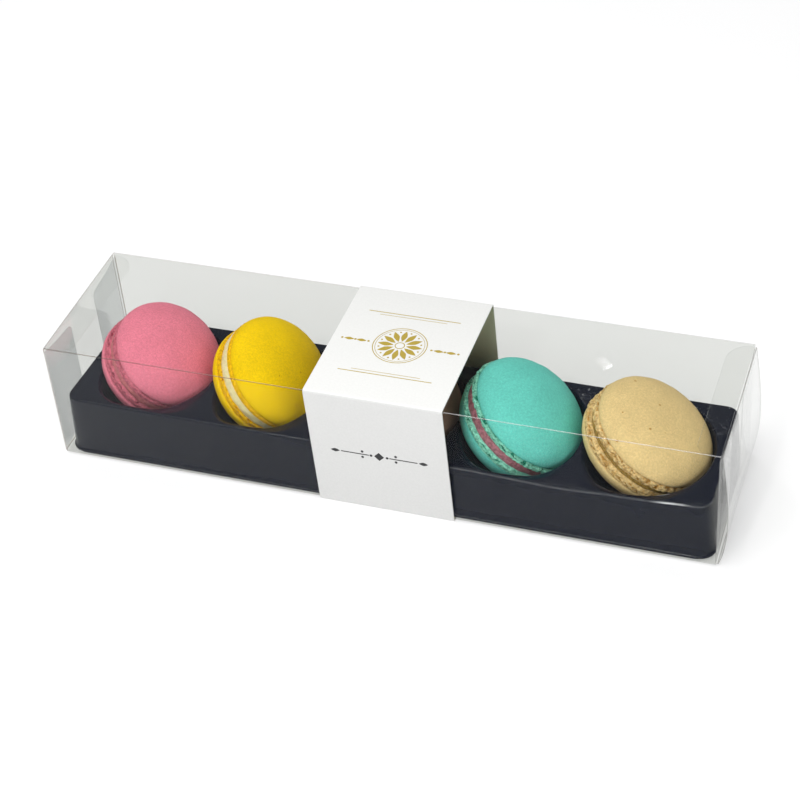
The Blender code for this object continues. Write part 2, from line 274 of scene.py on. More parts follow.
# Each macaron's darkest colour is painted shade in the foot's pits, groove and low crumbs, and also colours
# its specks.
COLOURS = {
    "pink": {"dome": (0.87, 0.245, 0.335), "foot": (0.70, 0.185, 0.25), "shade_and_specks": (0.30, 0.04, 0.07),
             "filling": (0.60, 0.18, 0.20), "shade_in_hollows": 0.25, "mottle": 0.85, "specks": 0.0},
    "yellow": {"dome": (1.0, 0.66, 0.0), "foot": (0.97, 0.56, 0.002), "shade_and_specks": (0.42, 0.13, 0.003),
               "filling": (0.86, 0.76, 0.42), "shade_in_hollows": 0.25, "mottle": 0.93, "specks": 0.5},
    "cocoa": {"dome": (0.36, 0.22, 0.15), "foot": (0.38, 0.24, 0.16), "shade_and_specks": (0.10, 0.06, 0.04),
              "filling": (0.10, 0.06, 0.04), "shade_in_hollows": 0.6, "mottle": 0.80, "specks": 0.0},
    "mint": {"dome": (0.160, 0.67, 0.58), "foot": (0.30, 0.77, 0.59), "shade_and_specks": (0.01, 0.21, 0.13),
             "filling": (0.47, 0.18, 0.22), "shade_in_hollows": 0.55, "mottle": 0.45, "specks": 0.0},
    "beige": {"dome": (0.83, 0.62, 0.29), "foot": (0.84, 0.62, 0.29), "shade_and_specks": (0.50, 0.26, 0.05),
              "filling": (0.38, 0.23, 0.04), "shade_in_hollows": 0.6, "mottle": 0.60, "specks": 0.8},
}


def macaron_place(size):
    middle = Vector((MIDDLE_X + size["x"], 0, FLOOR_Z + size["z"]))
    around = Matrix.Rotation(math.radians(size["turn"]), 4, "Z")
    lean = Matrix.Rotation(math.radians(size["tilt"]), 4, "Y")
    return Matrix.Translation(middle) @ (around @ lean)


print("macarons:", ", ".join(MACARONS))

# %% [markdown]
# ## Helpers for nodes
# A material is a graph of nodes, and writing every node in full hides what it does. Each of these
# helpers adds one node, sets its numbers, links what goes in and gives back what comes out, so that
# a finish reads like a short recipe. A group is a graph of its own with named inputs and outputs.

# %% Node helpers
def new_group(name, inputs, outputs):
    """An empty shader node group; inputs and outputs give each socket's name and kind."""
    group = bpy.data.node_groups.new(name, "ShaderNodeTree")
    for socket, kind in inputs:
        group.interface.new_socket(socket, in_out="INPUT", socket_type=kind)
    for socket, kind in outputs:
        group.interface.new_socket(socket, in_out="OUTPUT", socket_type=kind)
    return group, group.nodes.new("NodeGroupInput"), group.nodes.new("NodeGroupOutput")


def add_noise(nodes, links, coords, scale, detail):
    made = nodes.new("ShaderNodeTexNoise")
    made.inputs["Scale"].default_value = scale
    made.inputs["Detail"].default_value = detail
    links.new(coords, made.inputs["Vector"])
    return made.outputs["Fac"]


def add_range(nodes, links, value, low, high, to_low, to_high):
    made = nodes.new("ShaderNodeMapRange")
    for socket, number in zip(("From Min", "From Max", "To Min", "To Max"), (low, high, to_low, to_high)):
        made.inputs[socket].default_value = number
    links.new(value, made.inputs["Value"])
    return made.outputs["Result"]


def add_maths(nodes, links, operation, first, second):
    made = nodes.new("ShaderNodeMath")
    made.operation = operation
    for socket, value in zip(made.inputs, (first, second)):
        if isinstance(value, (int, float)):
            socket.default_value = value
        else:
            links.new(value, socket)
    return made.outputs[0]


def add_mix(nodes, links, share, first, second):
    made = nodes.new("ShaderNodeMix")
    made.data_type = "RGBA"
    for socket, value in ((made.inputs["Factor"], share), (made.inputs[6], first), (made.inputs[7], second)):
        if isinstance(value, (int, float, tuple)):
            socket.default_value = value
        else:
            links.new(value, socket)
    return made.outputs[2]


def add_mask(nodes, name):
    made = nodes.new("ShaderNodeAttribute")
    made.attribute_name = name
    return made.outputs["Fac"]


print("node helpers are ready")

# %% [markdown]
# ## A finish for baked shells
# All ten shells share one effect, so it is a node group: it mixes the dome's colour with the foot's
# by the masks that the mesh carries, and paints shade into the foot's pits, groove and low crumbs
# with a dark colour. It adds the fine grain of ground almonds and a few brown specks in that colour.
# The group gives back a colour and a normal, and each material keeps its own shader.

# %% Baked shell group
baked, baked_in, baked_out = new_group(
    "baked_shell",
    (("Dome", "NodeSocketColor"), ("Foot", "NodeSocketColor"), ("Shade and specks", "NodeSocketColor"),
     ("Shade in hollows", "NodeSocketFloat"), ("Specks", "NodeSocketFloat")),
    (("Color", "NodeSocketColor"), ("Normal", "NodeSocketVector")))
nodes, links = baked.nodes, baked.links
coords = nodes.new("ShaderNodeTexCoord").outputs["Object"]
foot_mask = add_mask(nodes, "foot")
pit_mask = add_mask(nodes, "pit")
crust = add_mix(nodes, links, foot_mask, baked_in.outputs["Dome"], baked_in.outputs["Foot"])
# Painted shade: the low crumbs, the torn pits and the groove are darkened with the dark colour.
hollow_shade = add_range(nodes, links, add_mask(nodes, "relief"), 0.15, 0.65, 1.0, 0.0)
hollow_shade = add_maths(nodes, links, "MULTIPLY", hollow_shade, foot_mask)
hollow_shade = add_maths(nodes, links, "MULTIPLY", hollow_shade, baked_in.outputs["Shade in hollows"])
deep = add_maths(nodes, links, "MAXIMUM", hollow_shade, pit_mask)
crust = add_mix(nodes, links, deep, crust, baked_in.outputs["Shade and specks"])
# The specks take the same dark colour; they are the macaron's own.
cells = nodes.new("ShaderNodeTexVoronoi")
cells.inputs["Scale"].default_value = 230.0
links.new(coords, cells.inputs["Vector"])
spot = add_maths(nodes, links, "LESS_THAN", cells.outputs["Distance"], 0.10)
chosen = nodes.new("ShaderNodeSeparateColor")
links.new(cells.outputs["Color"], chosen.inputs[0])
rare = add_maths(nodes, links, "GREATER_THAN", chosen.outputs[0], 0.60)
spot = add_maths(nodes, links, "MULTIPLY", spot, rare)
spot = add_maths(nodes, links, "MULTIPLY", spot, baked_in.outputs["Specks"])
crust = add_mix(nodes, links, spot, crust, baked_in.outputs["Shade and specks"])
cloud = add_range(nodes, links, add_noise(nodes, links, coords, 130.0, 3.0), 0.3, 0.7, 0.95, 1.04)
grain = add_noise(nodes, links, coords, 1700.0, 3.0)
fleck = add_range(nodes, links, grain, 0.25, 0.75, 0.85, 1.12)
crumb = add_range(nodes, links, add_noise(nodes, links, coords, 1300.0, 2.0), 0.32, 0.68, -0.32, 0.16)
fleck = add_maths(nodes, links, "ADD", add_maths(nodes, links, "MULTIPLY", crumb, foot_mask), fleck)
shade = nodes.new("ShaderNodeHueSaturation")
links.new(crust, shade.inputs["Color"])
links.new(add_maths(nodes, links, "MULTIPLY", cloud, fleck), shade.inputs["Value"])
links.new(shade.outputs["Color"], baked_out.inputs["Color"])
crumb_height = add_maths(nodes, links, "MULTIPLY", add_noise(nodes, links, coords, 900.0, 4.0), foot_mask)
relief = add_maths(nodes, links, "ADD", add_maths(nodes, links, "MULTIPLY", grain, 0.12), crumb_height)
bump = nodes.new("ShaderNodeBump")
bump.inputs["Distance"].default_value = 0.0004
bump.inputs["Strength"].default_value = 0.5
links.new(relief, bump.inputs["Height"])
links.new(bump.outputs["Normal"], baked_out.inputs["Normal"])
print("group", baked.name, "with", len(nodes), "nodes")

# %% [markdown]
# ## Shell and filling materials
# Meringue is matt and lets a little light in, which softens its shading. A small subsurface weight
# does that. The filling is a soft cream, so it is smoother than the foot but not shiny.

# %% Shell and filling materials
def new_material(name):
    made = bpy.data.materials.new(name)
    made.use_nodes = True
    return made, made.node_tree.nodes, made.node_tree.links, made.node_tree.nodes["Principled BSDF"]


def shell_material(name):
    made, nodes, links, shader = new_material(name + "_baked")
    effect = nodes.new("ShaderNodeGroup")
    effect.node_tree = baked
    for socket, part in (("Dome", "dome"), ("Foot", "foot"), ("Shade and specks", "shade_and_specks")):
        effect.inputs[socket].default_value = (*COLOURS[name][part], 1.0)
    effect.inputs["Shade in hollows"].default_value = COLOURS[name]["shade_in_hollows"]
    effect.inputs["Specks"].default_value = COLOURS[name]["specks"]
    links.new(effect.outputs["Color"], shader.inputs["Base Color"])
    links.new(effect.outputs["Normal"], shader.inputs["Normal"])
    shader.inputs["Roughness"].default_value = 0.62
    shader.inputs["Specular IOR Level"].default_value = 0.05
    shader.inputs["Subsurface Weight"].default_value = 0.10
    shader.inputs["Subsurface Radius"].default_value = (1.0, 0.7, 0.5)
    shader.inputs["Subsurface Scale"].default_value = 0.0008
    return made


def filling_material(name):
    made, nodes, links, shader = new_material(name + "_cream")
    coords = nodes.new("ShaderNodeTexCoord").outputs["Object"]
    lumps = add_noise(nodes, links, coords, 1100.0, 3.0)
    colour = COLOURS[name]["filling"]
    deep = (*(COLOURS[name]["mottle"] * part for part in colour), 1.0)
    light = (*(min(1.0, 1.10 * part) for part in colour), 1.0)
    share = add_range(nodes, links, lumps, 0.32, 0.62, 0.0, 1.0)
    links.new(add_mix(nodes, links, share, deep, light), shader.inputs["Base Color"])
    bump = nodes.new("ShaderNodeBump")
    bump.inputs["Distance"].default_value = 0.0003
    bump.inputs["Strength"].default_value = 0.5
    links.new(lumps, bump.inputs["Height"])
    links.new(bump.outputs["Normal"], shader.inputs["Normal"])
    shader.inputs["Roughness"].default_value = 0.50
    shader.inputs["Subsurface Weight"].default_value = 0.15
    shader.inputs["Subsurface Scale"].default_value = 0.0008
    return made


print("finishes wait for", len(COLOURS), "macarons")

# %% [markdown]
# ## The shape of a shell
# A shell is a smooth dome on a foot, the ring of crust that bubbled out under the dome as it
# baked. A UV sphere already has its points in rings from pole to pole, so each ring is moved to its
# place on the shell's outline: first the dome, then the foot, then the flat side. The foot then
# gets its crumbs and torn pits from noise, and two masks remember where foot and pits are.

# %% Shell outline
SHELL_SEGMENTS = 384
DOME_RINGS = 24
FOOT_RINGS = 22
UNDER_RINGS = 4
SHELL_RINGS = DOME_RINGS + FOOT_RINGS + UNDER_RINGS
GROOVE = 0.025
FOOT_OUTLINE = ((0.80, 0.985), (0.58, 1.0), (0.28, 0.998), (0.08, 0.970), (0.0, 0.945))
SHELL_SWELL = 0.010
FOOT_WAVE = 0.00022
DOME_WAVE = 0.00007
PIT_DEPTH = 0.00070
PIT_EDGE = 0.22
GROOVE_PLACE = 0.88
GROOVE_REACH = 0.07


def along(outline, at):
    """Reads a value off an outline of (height, value) points that run down from 1 to 0."""
    for (high, first), (low, second) in zip(outline, outline[1:]):
        if at >= low:
            share = (high - at) / (high - low)
            share = share * share * (3 - 2 * share)
            return first + share * (second - first)
    return outline[-1][1]


def shell_ring(ring, size):
    """Radius, height above the flat side, and share of the foot for one ring of the sphere."""
    if ring <= DOME_RINGS:
        angle = 0.5 * math.pi * ring / DOME_RINGS
        radius = size["rim"] * size["radius"] * math.sin(angle)
        return radius, size["foot"] + size["dome"] * math.cos(angle), 0.0
    if ring <= DOME_RINGS + FOOT_RINGS:
        up = 1 - (ring - DOME_RINGS) / FOOT_RINGS
        spread = [(at, share * size["spread"]) for at, share in FOOT_OUTLINE]
        outline = ((1.0, size["rim"]), (0.90, size["rim"] - GROOVE), *spread)
        return size["radius"] * along(outline, up), size["foot"] * up, min(1.0, 6 * (1 - up))
    return size["radius"] * FOOT_OUTLINE[-1][1] * (SHELL_RINGS - ring) / UNDER_RINGS, 0.0, 1.0


def crumbs(angle, height, size, seed):
    """How far the foot's crust stands out at a spot, and how deep it is pitted, from 0 to 1."""
    spot = Vector((math.cos(angle) * size["radius"], math.sin(angle) * size["radius"], height)) * 1000
    spot += Vector((0, 0, 31.7 * seed))
    lumps = noise.fractal(spot * size["grain"], 0.6, 2.1, 3)
    along_rim, across = size["tears"]
    torn = noise.noise(Vector((spot.x * along_rim, spot.y * along_rim, spot.z * across)))
    torn += 0.5 * noise.noise(Vector((spot.x * 1.3, spot.y * 1.3, spot.z * 2.6)))
    pit = min(1.0, max(0.0, (torn - size["whole"]) / PIT_EDGE))
    up = height / size["foot"]
    gap = math.exp(-((up - GROOVE_PLACE) / GROOVE_REACH) ** 2) * min(1.0, max(0.0, 0.5 + 1.6 * torn))
    pit = max(pit, size["groove"] * gap)
    return lumps, pit


print("a shell has", SHELL_RINGS, "rings of", SHELL_SEGMENTS, "points")

# %% [markdown]
# ## Make the shells
# The lower shell is the same shape turned over. Every point is moved by a rule, so that is a loop
# over the mesh rather than hand work. No macaron is quite round or flat, so the rim swells a little
# and the foot rises and falls. The smooth shading is set once at the end.

# %% Shells
def shape_shell(obj, size, seed, torn):
    # The pit and relief masks tell the shell's finish where to paint shade.
    foot_mask, pit_mask, relief_mask = new_masks(obj, "foot", "pit", "relief")
    base = size["filling"] / 2
    for vert in obj.data.vertices:
        ring = round(SHELL_RINGS * math.acos(max(-1.0, min(1.0, vert.co.z))) / math.pi)
        angle = math.atan2(vert.co.y, vert.co.x)
        radius, height, foot = shell_ring(ring, size)
        out = min(1.0, radius / size["radius"])
        share = height / size["foot"]
        pit = 0.0
        lump = 0.0
        radius *= 1 + SHELL_SWELL * out * out * math.sin(2 * angle + seed)
        if 0.0 < foot and ring < SHELL_RINGS - UNDER_RINGS:
            on_side = foot * min(1.0, 4 * share)
            lump, pit = crumbs(angle, height, size, seed)
            pit *= on_side * torn
            lump = torn * lump + 0.3 * (1 - torn)
            radius += on_side * size["crumb"] * lump - pit * PIT_DEPTH
        wave = FOOT_WAVE * noise.noise(Vector((5 * math.cos(angle), 5 * math.sin(angle), seed)))
        spot = Vector((radius * math.cos(angle), radius * math.sin(angle), seed * 0.01)) * 110
        swell = DOME_WAVE * noise.noise(spot) * min(1.0, max(0.0, share - 1))
        height += wave * min(1.0, share) * out ** 3 + swell
        vert.co = (radius * math.cos(angle), radius * math.sin(angle), base + height)
        foot_mask.data[vert.index].value = foot
        pit_mask.data[vert.index].value = pit
        relief_mask.data[vert.index].value = 0.5 + 0.5 * max(-1.0, min(1.0, 1.6 * lump))


def build_shell(name, size, seed, torn, finish, ending, matrix):
    bpy.ops.mesh.primitive_uv_sphere_add(segments=SHELL_SEGMENTS, ring_count=SHELL_RINGS, radius=1.0)
    shell = start_piece(f"{name}_{ending}_baked")
    shape_shell(shell, size, seed, torn)
    shell.data.materials.append(finish)
    settle(shell, matrix)
    bpy.ops.object.shade_smooth()
    hand_in(shell, name + "_shell", f"{name}_{ending}_shell")


TURN_OVER = Matrix.Rotation(math.pi, 4, "X")
for index, (name, size) in enumerate(MACARONS.items()):
    finish = shell_material(name)
    build_shell(name, size, 3 * index, size["upper"], finish, "upper", macaron_place(size))
    build_shell(name, size, 3 * index + 2, 1.0, finish, "lower", macaron_place(size) @ TURN_OVER)

# %% [markdown]
# ## The fillings
# A filling is a disc of cream pressed between the shells. Its rim bulges and is never quite even.
# It also starts as a sphere whose rings are moved: the rings near the middle make the rim, the
# others the two flat sides, which reach just into the shells so that no gap shows.

# %% Fillings
FILLING_SEGMENTS = 192
FILLING_RINGS = 20
FILLING_SIDE_RINGS = 4
FILLING_OVERLAP = 0.00045
CREAM_WAVE = 0.00030
CREAM_FLAT = 0.96


def shape_filling(obj, size, seed):
    half = size["filling"] / 2 + FILLING_OVERLAP
    rim = size["reach"] * size["radius"]
    for vert in obj.data.vertices:
        ring = round(FILLING_RINGS * math.acos(max(-1.0, min(1.0, vert.co.z))) / math.pi)
        angle = math.atan2(vert.co.y, vert.co.x)
        from_pole = min(ring, FILLING_RINGS - ring)
        if from_pole <= FILLING_SIDE_RINGS:
            radius = rim * CREAM_FLAT * from_pole / FILLING_SIDE_RINGS
            height = half * (1 if vert.co.z > 0 else -1)
        else:
            sweep = math.pi * (ring - FILLING_SIDE_RINGS) / (FILLING_RINGS - 2 * FILLING_SIDE_RINGS)
            radius = rim * (CREAM_FLAT + (1 - CREAM_FLAT) * math.sin(sweep))
            height = half * math.cos(sweep)
        spot = Vector((math.cos(angle) * 9, math.sin(angle) * 9, height * 900 + 11.3 * seed))
        radius += CREAM_WAVE * noise.noise(spot) * (from_pole > FILLING_SIDE_RINGS)
        vert.co = (radius * math.cos(angle), radius * math.sin(angle), height)


for index, (name, size) in enumerate(MACARONS.items()):
    bpy.ops.mesh.primitive_uv_sphere_add(segments=FILLING_SEGMENTS, ring_count=FILLING_RINGS, radius=1.0)
    cream = start_piece(name + "_cream")
    shape_filling(cream, size, 3 * index + 1)
    cream.data.materials.append(filling_material(name))
    settle(cream, macaron_place(size))
    bpy.ops.object.shade_smooth()
    hand_in(cream, name + "_filling", name + "_filling")

# %% [markdown]
# ## The tray's pockets
# A formed tray is one thin sheet that was sucked down over blocks. Each pocket is the room that its
# macaron needs to be dropped in from above. To find its depth at any point, a former, a slightly
# enlarged macaron, is made from a sphere, and a ray is shot up at it from below.

# %% Pocket formers
SIDE_ROOM = 0.0009
FLOOR_ROOM = 0.0007
POCKET_HALF_WIDTH = 0.0222
POCKET_Y = -0.0012
FORMER_SEGMENTS = 160
FORMER_RINGS = 60
TRAY_TOP = FLOOR_Z + 0.0205
RAY_START = -0.05


def pocket_former(size):
    """A tree of the faces of an enlarged macaron, for ray casts."""
    bpy.ops.mesh.primitive_uv_sphere_add(segments=FORMER_SEGMENTS, ring_count=FORMER_RINGS, radius=1.0)
    former = bpy.context.object
    reach = size["radius"] + SIDE_ROOM
    half = size["filling"] / 2 + size["foot"]
    for vert in former.data.vertices:
        side = 1 if vert.co.z > 0.001 else -1
        vert.co.x *= reach
        vert.co.y *= reach
        vert.co.z = vert.co.z * (size["dome"] + FLOOR_ROOM) + side * half
    settle(former, macaron_place(size))
    for vert in former.data.vertices:
        vert.co.y = POCKET_Y + vert.co.y * POCKET_HALF_WIDTH / reach
    cage = bmesh.new()
    cage.from_mesh(former.data)
    tree = BVHTree.FromBMesh(cage)
    cage.free()
    bpy.data.objects.remove(former, do_unlink=True)
    return tree


def pocket_depth(tree, x, y):
    """Height of the pocket's floor at a point, or None outside the pocket."""
    hit = tree.ray_cast(Vector((x, y, RAY_START)), Vector((0, 0, 1)))[0]
    if hit is None or hit.z > TRAY_TOP:
        return None
    return hit.z


formers = {name: pocket_former(size) for name, size in MACARONS.items()}
print("pocket floor under the pink macaron:", pocket_depth(formers["pink"], MIDDLE_X - 0.081, 0))

# %% [markdown]
# ## Two tools for the pockets' lines
# The rim of a pocket is where the former comes up through the tray's top. Halving the doubt finds it
# in a few tries. A line is later cut at even distances, so that the rows of the mesh are even too.

# %% Rim and cuts
DOUBT = 0.035
HALVINGS = 22


def rim_distance(tree, middle, way):
    """How far the rim is from the pocket's middle, by halving the doubt again and again."""
    near, far = 0.0, DOUBT
    for _ in range(HALVINGS):
        at = (near + far) / 2
        if pocket_depth(tree, middle.x + way.x * at, middle.y + way.y * at) is None:
            far = at
        else:
            near = at
    return near


def cut_line(line, places):
    """Points at the given distances along a line of (run, height) points."""
    made = []
    walked = 0.0
    k = 0
    for place in places:
        while k < len(line) - 2 and walked + math.dist(line[k], line[k + 1]) < place:
            walked += math.dist(line[k], line[k + 1])
            k += 1
        step = math.dist(line[k], line[k + 1])
        share = min(1.0, (place - walked) / step) if step else 0.0
        made.append(tuple(a + share * (b - a) for a, b in zip(line[k], line[k + 1])))
    return made


for name, tree in formers.items():
    middle = Vector((MIDDLE_X + MACARONS[name]["x"], POCKET_Y))
    reach = rim_distance(tree, middle, Vector((1, 0)))
    print(name, "pocket reaches", round(1000 * reach, 1), "mm to the right")

# %% [markdown]
# ## The line of a pocket wall
# From the middle of a pocket, rays run out level in all directions. Along each, the wall's line is
# found from the rim down to the middle, and the rim's corner is rounded off by a short curve. The
# line is then cut into equal steps, one for each row of the mesh.

# %% Pocket lines
RIM_ROUND = 0.0011
RIM_ROWS = 4
WALL_ROWS = 12
LINE_STEPS = 50


def pocket_line(tree, middle, way, free):
    """The (run, height) points of a pocket's section, from the flat top round the rim to its middle."""
    rim = rim_distance(tree, middle, way)
    corner = (rim, TRAY_TOP)
    line = [corner]
    for k in range(LINE_STEPS + 1):
        run = rim * (1 - k / LINE_STEPS) * 0.9999
        line.append((run, pocket_depth(tree, middle.x + way.x * run, middle.y + way.y * run)))
    length = sum(math.dist(a, b) for a, b in zip(line, line[1:]))
    bend = min(RIM_ROUND, 0.5 * (free - rim))
    start = cut_line(line, [bend])[0]
    outside = (rim + bend, TRAY_TOP)
    points = []
    for k in range(RIM_ROWS + 1):
        t = k / RIM_ROWS
        points.append(tuple((1 - t) ** 2 * a + 2 * t * (1 - t) * b + t ** 2 * c
                            for a, b, c in zip(outside, corner, start)))
    steps = [bend + (length - bend) * k / WALL_ROWS for k in range(1, WALL_ROWS + 1)]
    return points + cut_line(line, steps)


print("a line has", RIM_ROWS + 1 + WALL_ROWS, "points")

# %% [markdown]
# ## The tray's outline
# The top is a rectangle with round corners, and it is split into five cells, one for each pocket.
# The lines between cells run halfway between the rims of two pockets, as a mould maker would draw
# them. The edge's own round is left out here, because it is added with the walls.

# %% Tray outline
TRAY_HALF_LENGTH = 0.1042
TRAY_FRONT = -0.0252
TRAY_BACK = 0.0224
TRAY_CORNER = 0.0036
EDGE_ROUND = 0.0006
CELL_COLUMNS = 26
CELL_ROWS = 32
FLAT_ROWS = 2

flat_low = Vector((-TRAY_HALF_LENGTH + EDGE_ROUND, TRAY_FRONT + EDGE_ROUND))
flat_high = Vector((TRAY_HALF_LENGTH - EDGE_ROUND, TRAY_BACK - EDGE_ROUND))
corner_low = flat_low + Vector((TRAY_CORNER, TRAY_CORNER))
corner_high = flat_high - Vector((TRAY_CORNER, TRAY_CORNER))


def nearest_core(x, y):
    return Vector((min(max(x, corner_low.x), corner_high.x), min(max(y, corner_low.y), corner_high.y)))


def round_corner(x, y):
    """Moves a point of the outline's sharp corner on to the round one."""
    core = nearest_core(x, y)
    out = Vector((x, y)) - core
    if out.x and out.y:
        return core + out.normalized() * TRAY_CORNER
    return Vector((x, y))


def cell_borders():
    """The lines across the tray between one pocket and the next, from left to right."""
    rims = []
    for name, size in MACARONS.items():
        middle = Vector((MIDDLE_X + size["x"], POCKET_Y))
        reach = [rim_distance(formers[name], middle, Vector((way, 0))) for way in (-1, 1)]
        rims.append((size["x"] - reach[0], size["x"] + reach[1]))
    inner = [(left[1] + right[0]) / 2 for left, right in zip(rims, rims[1:])]
    return [flat_low.x, *inner, flat_high.x]


borders = cell_borders()
print("cell borders in mm:", [round(1000 * x, 1) for x in borders])

# %% [markdown]
# ## The tray's top, cell by cell
# A grid gives a cell's outline, its inside is deleted, and the outline is extruded inwards row by
# row along the pocket's lines. Each point carries the number of its line in an attribute, which an
# extrusion copies to the new point. So the mesh flows round each pocket, as sheet does when formed.

# %% Tray cells
def outline_cell(name, left, right):
    """The outline of one cell, as loose edges with their points' line numbers."""
    bpy.ops.mesh.primitive_grid_add(x_subdivisions=CELL_COLUMNS, y_subdivisions=CELL_ROWS, size=2.0)
    cell = start_piece(name + "_cell")
    bpy.ops.object.mode_set(mode="EDIT")
    bpy.ops.mesh.select_mode(type="VERT")
    bpy.ops.mesh.select_all(action="DESELECT")
    cage = bmesh.from_edit_mesh(cell.data)
    for vert in cage.verts:
        vert.select_set(abs(vert.co.x) < 0.999 and abs(vert.co.y) < 0.999)
    bmesh.update_edit_mesh(cell.data)
    bpy.ops.mesh.delete(type="VERT")
    bpy.ops.object.mode_set(mode="OBJECT")
    numbers = cell.data.attributes.new("line", "INT", "POINT")
    for vert in cell.data.vertices:
        x = left + (right - left) * (vert.co.x + 1) / 2
        y = flat_low.y + (flat_high.y - flat_low.y) * (vert.co.y + 1) / 2
        flat = round_corner(x, y)
        vert.co = (MIDDLE_X + flat.x, flat.y, TRAY_TOP)
        numbers.data[vert.index].value = vert.index
    return cell


def build_cell(name, size, left, right):
    cell = outline_cell(name, left, right)
    middle = Vector((MIDDLE_X + size["x"], POCKET_Y))
    lines = []
    for vert in cell.data.vertices:
        out = vert.co.to_2d() - middle
        way = out.normalized()
        points = pocket_line(formers[name], middle, way, out.length)
        runs = [out.length + (points[0][0] - out.length) * k / FLAT_ROWS for k in range(1, FLAT_ROWS)]
        lines.append((way, [(run, TRAY_TOP) for run in runs] + points))
    only(cell)
    bpy.ops.object.mode_set(mode="EDIT")
    bpy.ops.mesh.select_all(action="SELECT")
    for row in range(len(lines[0][1])):
        bpy.ops.mesh.extrude_edges_move()
        cage = bmesh.from_edit_mesh(cell.data)
        numbers = cage.verts.layers.int["line"]
        for vert in cage.verts:
            if vert.select:
                way, points = lines[vert[numbers]]
                run, height = points[row]
                vert.co = (middle.x + way.x * run, middle.y + way.y * run, height)
        bmesh.update_edit_mesh(cell.data)
    bpy.ops.object.mode_set(mode="OBJECT")
    return cell


cells = []
for index, (name, size) in enumerate(MACARONS.items()):
    cells.append(build_cell(name, size, borders[index], borders[index + 1]))
print(len(cells), "cells with", sum(len(cell.data.polygons) for cell in cells), "faces")

# %% [markdown]
# ## The shape of the tray's walls
# A formed wall is never upright, or the tray would not come off its mould. From the top it goes round
# the edge, down with a slight draft, and out to the narrow flange that stiffens the foot. The rows
# are listed first, so that one loop can extrude them.

# %% Wall rows
TRAY_FOOT = FLOOR_Z + 0.0006
END_DRAFT = 0.0012
FRONT_DRAFT = 0.0003
BACK_DRAFT = 0.0016
FLANGE = 0.0006
FLANGE_CURVE = ((0.25, 1.35), (0.7, 1.05), (1.0, 0.9), (1.0, 0.0))
EDGE_STEPS = 4
WALL_STEPS = 6


def wall_rows():
    """For each row down the wall: outward shifts of the ends, the front and the back, and height."""
    rows = []
    for k in range(1, EDGE_STEPS + 1):
        angle = 0.5 * math.pi * k / EDGE_STEPS
        out = EDGE_ROUND * math.sin(angle)
        rows.append((out, out, out, TRAY_TOP - EDGE_ROUND * (1 - math.cos(angle))))
    high = TRAY_TOP - EDGE_ROUND
    low = TRAY_FOOT + 2 * FLANGE
    for k in range(1, WALL_STEPS + 1):
        down = k / WALL_STEPS
        shifts = [EDGE_ROUND + draft * down for draft in (END_DRAFT, FRONT_DRAFT, BACK_DRAFT)]
        rows.append((*shifts, high + (low - high) * down))
    for out, up in FLANGE_CURVE:
        shifts = [EDGE_ROUND + draft + out * FLANGE for draft in (END_DRAFT, FRONT_DRAFT, BACK_DRAFT)]
        rows.append((*shifts, TRAY_FOOT + up * FLANGE))
    return rows


print("the wall has", len(wall_rows()), "rows")

# %% [markdown]
# ## The tray's walls
# The five cells are joined and their shared points merged. What is still open is the outline of the
# top, and that is extruded outwards and down by the rows. A second attribute tells each point which
# way is out, and it rides along with each extrusion.

# %% Tray walls
MERGE = 0.00002

only(cells[0])
for cell in cells:
    cell.select_set(True)
bpy.ops.object.join()
tray = start_piece("formed_tray")
outward = tray.data.attributes.new("outward", "FLOAT_VECTOR", "POINT")
for vert in tray.data.vertices:
    spot = Vector((vert.co.x - MIDDLE_X, vert.co.y))
    out = (spot - nearest_core(spot.x, spot.y)).normalized()
    outward.data[vert.index].vector = (out.x, out.y, 0)
bpy.ops.object.mode_set(mode="EDIT")
bpy.ops.mesh.select_all(action="SELECT")
bpy.ops.mesh.remove_doubles(threshold=MERGE)
bpy.ops.mesh.normals_make_consistent(inside=False)
bpy.ops.mesh.select_all(action="DESELECT")
cage = bmesh.from_edit_mesh(tray.data)
for edge in cage.edges:
    edge.select_set(edge.is_boundary)
bmesh.update_edit_mesh(tray.data)
before = (0.0, 0.0, 0.0)
for end_out, front_out, back_out, height in wall_rows():
    bpy.ops.mesh.extrude_edges_move()
    cage = bmesh.from_edit_mesh(tray.data)
    ways = cage.verts.layers.float_vector["outward"]
    for vert in cage.verts:
        if vert.select:
            way = vert[ways]
            side = front_out - before[1] if way.y < 0 else back_out - before[2]
            vert.co.x += way.x * (end_out - before[0])
            vert.co.y += way.y * side
            vert.co.z = height
    bmesh.update_edit_mesh(tray.data)
    before = (end_out, front_out, back_out)
bpy.ops.mesh.select_all(action="SELECT")
bpy.ops.mesh.normals_make_consistent(inside=False)
bpy.ops.object.mode_set(mode="OBJECT")
print("tray surface:", len(tray.data.polygons), "faces")

# %% [markdown]
# ## The tray's uneven edge and its thickness
# Thin formed sheet never stays flat. In the photograph the front edge stands high on the left and
# sags to the right of the band, and the top has faint swells. Both are small moves that fade
# towards the foot, so the tray still stands level. Three masks are noted on the way: the round edge,
# the spots that were crumpled, and a painted highlight, a light line along the front edge that is
# brightest at one spot right of the band. Solidify gives the sheet its thickness last, because a
# single surface is easier to bend.

# %% Tray sag and thickness
TRAY_WALL = 0.0005
EDGE_LIFT = ((-0.1045, 0.0015), (-0.060, 0.0012), (-0.021, 0.0008), (0.025, -0.0003),
             (0.059, -0.0014), (0.078, -0.0007), (0.099, 0.0003), (0.1045, 0.0003))
SAG_START = 0.004
SWELL = 0.00012
HIGHLIGHT_LINE = 0.16
HIGHLIGHT_PEAK = 1.5
HIGHLIGHT_START = 0.024
HIGHLIGHT_DEPTH = 0.004
HIGHLIGHT_X = 0.0925
HIGHLIGHT_REACH = 0.0042
